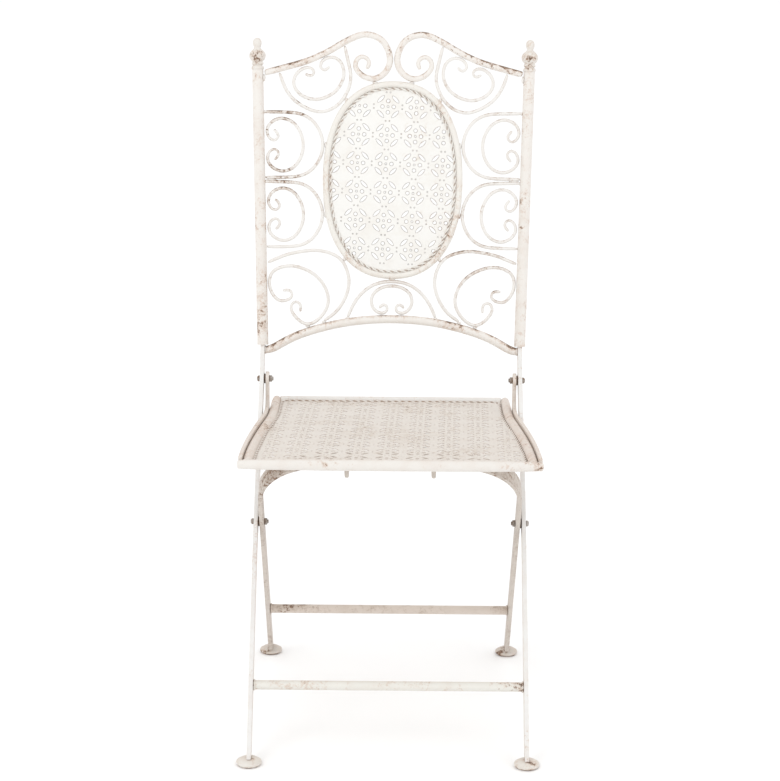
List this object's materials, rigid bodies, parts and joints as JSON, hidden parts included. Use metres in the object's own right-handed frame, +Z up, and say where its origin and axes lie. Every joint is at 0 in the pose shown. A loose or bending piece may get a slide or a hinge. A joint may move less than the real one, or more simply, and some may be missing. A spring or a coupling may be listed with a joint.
{
  "type": "folding garden chair",
  "caption": "Folding metal garden chair with worn cream paint: leaning scrollwork back round a punched oval, punched seat that lifts, and crossing rear legs bent into a bow.",
  "frame": {"origin": "on the floor, under the middle of the chair's width and depth", "axes": "+Z up, +X to the right of someone who looks at the front of the chair, front of the chair towards -Y"},
  "size_m": [0.4272, 0.4772, 0.9847],
  "materials": {
    "cream_paint": "matt cream paint, worn through to brown rust along edges",
    "ivory_paint": "matt ivory paint with grey-green and brown wear",
    "sand_paint": "thin beige-grey paint, rubbed through",
    "taupe_paint": "thin stained paint, brown at the edges",
    "dark_iron": "rusty iron with traces of paint"
  },
  "bodies": {
    "back_frame": {"long_bar_left": "cream_paint", "long_bar_right": "cream_paint", "front_foot_left": "cream_paint", "front_foot_right": "cream_paint", "front_rung": "cream_paint", "upright_left": "cream_paint", "upright_right": "cream_paint", "finial_left": "cream_paint", "finial_right": "cream_paint", "oval_ring": "ivory_paint", "oval_rope": "ivory_paint", "oval_sheet": "ivory_paint", "top_rail_left": "cream_paint", "top_rail_right": "cream_paint", "bottom_rail": "cream_paint", "scroll_top_bow_left": "cream_paint", "scroll_top_bow_right": "cream_paint", "scroll_top_curl_left": "cream_paint", "scroll_top_curl_right": "cream_paint", "scroll_upper_bow_left": "cream_paint", "scroll_upper_bow_right": "cream_paint", "scroll_upper_curl_left": "cream_paint", "scroll_upper_curl_right": "cream_paint", "scroll_lower_bow_left": "cream_paint", "scroll_lower_bow_right": "cream_paint", "scroll_lower_curl_left": "cream_paint", "scroll_lower_curl_right": "cream_paint", "scroll_bottom_bow_left": "cream_paint", "scroll_bottom_bow_right": "cream_paint", "scroll_bottom_curl_left": "cream_paint", "scroll_bottom_curl_right": "cream_paint", "centre_arch": "cream_paint", "centre_curl": "cream_paint", "cross_pivot_bolt_left": "dark_iron", "cross_pivot_bolt_right": "dark_iron", "cross_pivot_washer_left": "dark_iron", "cross_pivot_washer_right": "dark_iron", "seat_pivot_bolt_left": "dark_iron", "seat_pivot_bolt_right": "dark_iron", "seat_pivot_washer_left": "dark_iron", "seat_pivot_washer_right": "dark_iron"},
    "seat": {"seat_front_rail": "cream_paint", "seat_side_rail_left": "cream_paint", "seat_side_rail_right": "cream_paint", "seat_rear_rail": "cream_paint", "seat_arm_left": "cream_paint", "seat_arm_right": "cream_paint", "seat_rope": "sand_paint", "seat_sheet": "sand_paint", "seat_rod_left": "taupe_paint", "seat_rod_right": "taupe_paint"},
    "rear_legs": {"rear_bow": "taupe_paint", "rear_rung": "cream_paint", "rear_foot_left": "cream_paint", "rear_foot_right": "cream_paint"}
  },
  "joints": [
    {"name": "seat_fold", "type": "hinge", "parent": "back_frame", "child": "seat", "pos_m": [0, 0.09727, 0.482], "axis": [-1, 0, 0], "range_deg": [0, 97]},
    {"name": "legs_fold", "type": "hinge", "parent": "back_frame", "child": "rear_legs", "pos_m": [0, -0.0195, 0.298], "axis": [-1, 0, 0], "range_deg": [0, 52.4]}
  ],
  "couplings": [
    {"joint": "legs_fold", "follows": "seat_fold", "ratio": 0.54}
  ]
}
